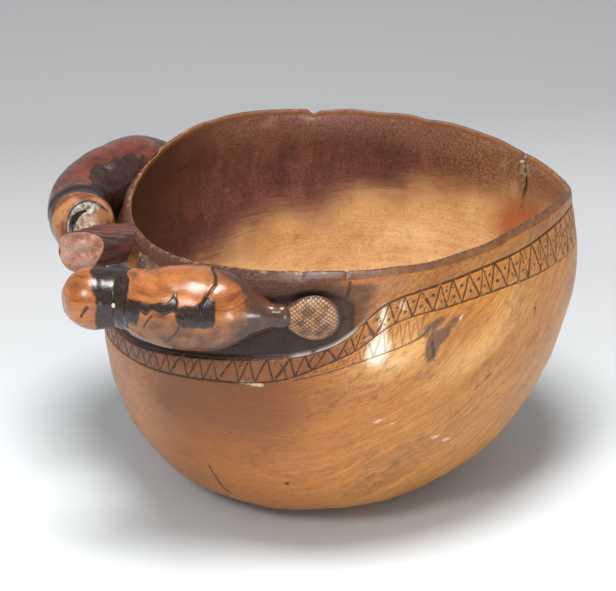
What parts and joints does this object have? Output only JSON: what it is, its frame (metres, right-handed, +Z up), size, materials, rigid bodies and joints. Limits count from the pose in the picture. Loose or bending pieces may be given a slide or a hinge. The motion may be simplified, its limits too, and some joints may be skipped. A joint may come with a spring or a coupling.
{
  "type": "wooden cup",
  "caption": "Deep egg-shaped carved wooden drinking bowl with beavers along the rim at a worn lug handle and an engraved lattice band",
  "frame": {"origin": "centre of the flat foot, on the surface that the bowl stands on", "axes": "+Z up; -X towards the handle lug between the beavers; -Y towards the near beaver, which lies along the rim left of the lattice band"},
  "size_m": [0.1715, 0.1392, 0.099],
  "materials": {
    "bowl_wood": "hand-rubbed oiled wood, golden orange to red-brown, glossy and worn",
    "figure_wood": "polished red-brown wood with scorched black patches",
    "worn_wood": "red-brown wood worn to a pinkish facet at the end",
    "eye_peg": "pale inset peg",
    "crack_filler": "dull grey-green filler"
  },
  "bodies": {
    "root": {"bowl_shell": "bowl_wood", "front_web": "bowl_wood", "handle_lug": "worn_wood", "front_beaver_body": "figure_wood", "front_beaver_head": "figure_wood", "front_beaver_tail": "figure_wood", "rear_beaver_body": "figure_wood", "rear_beaver_head": "figure_wood", "rear_beaver_tail": "figure_wood", "front_beaver_eyes": "eye_peg", "rim_crack_fill": "crack_filler"}
  },
  "joints": []
}
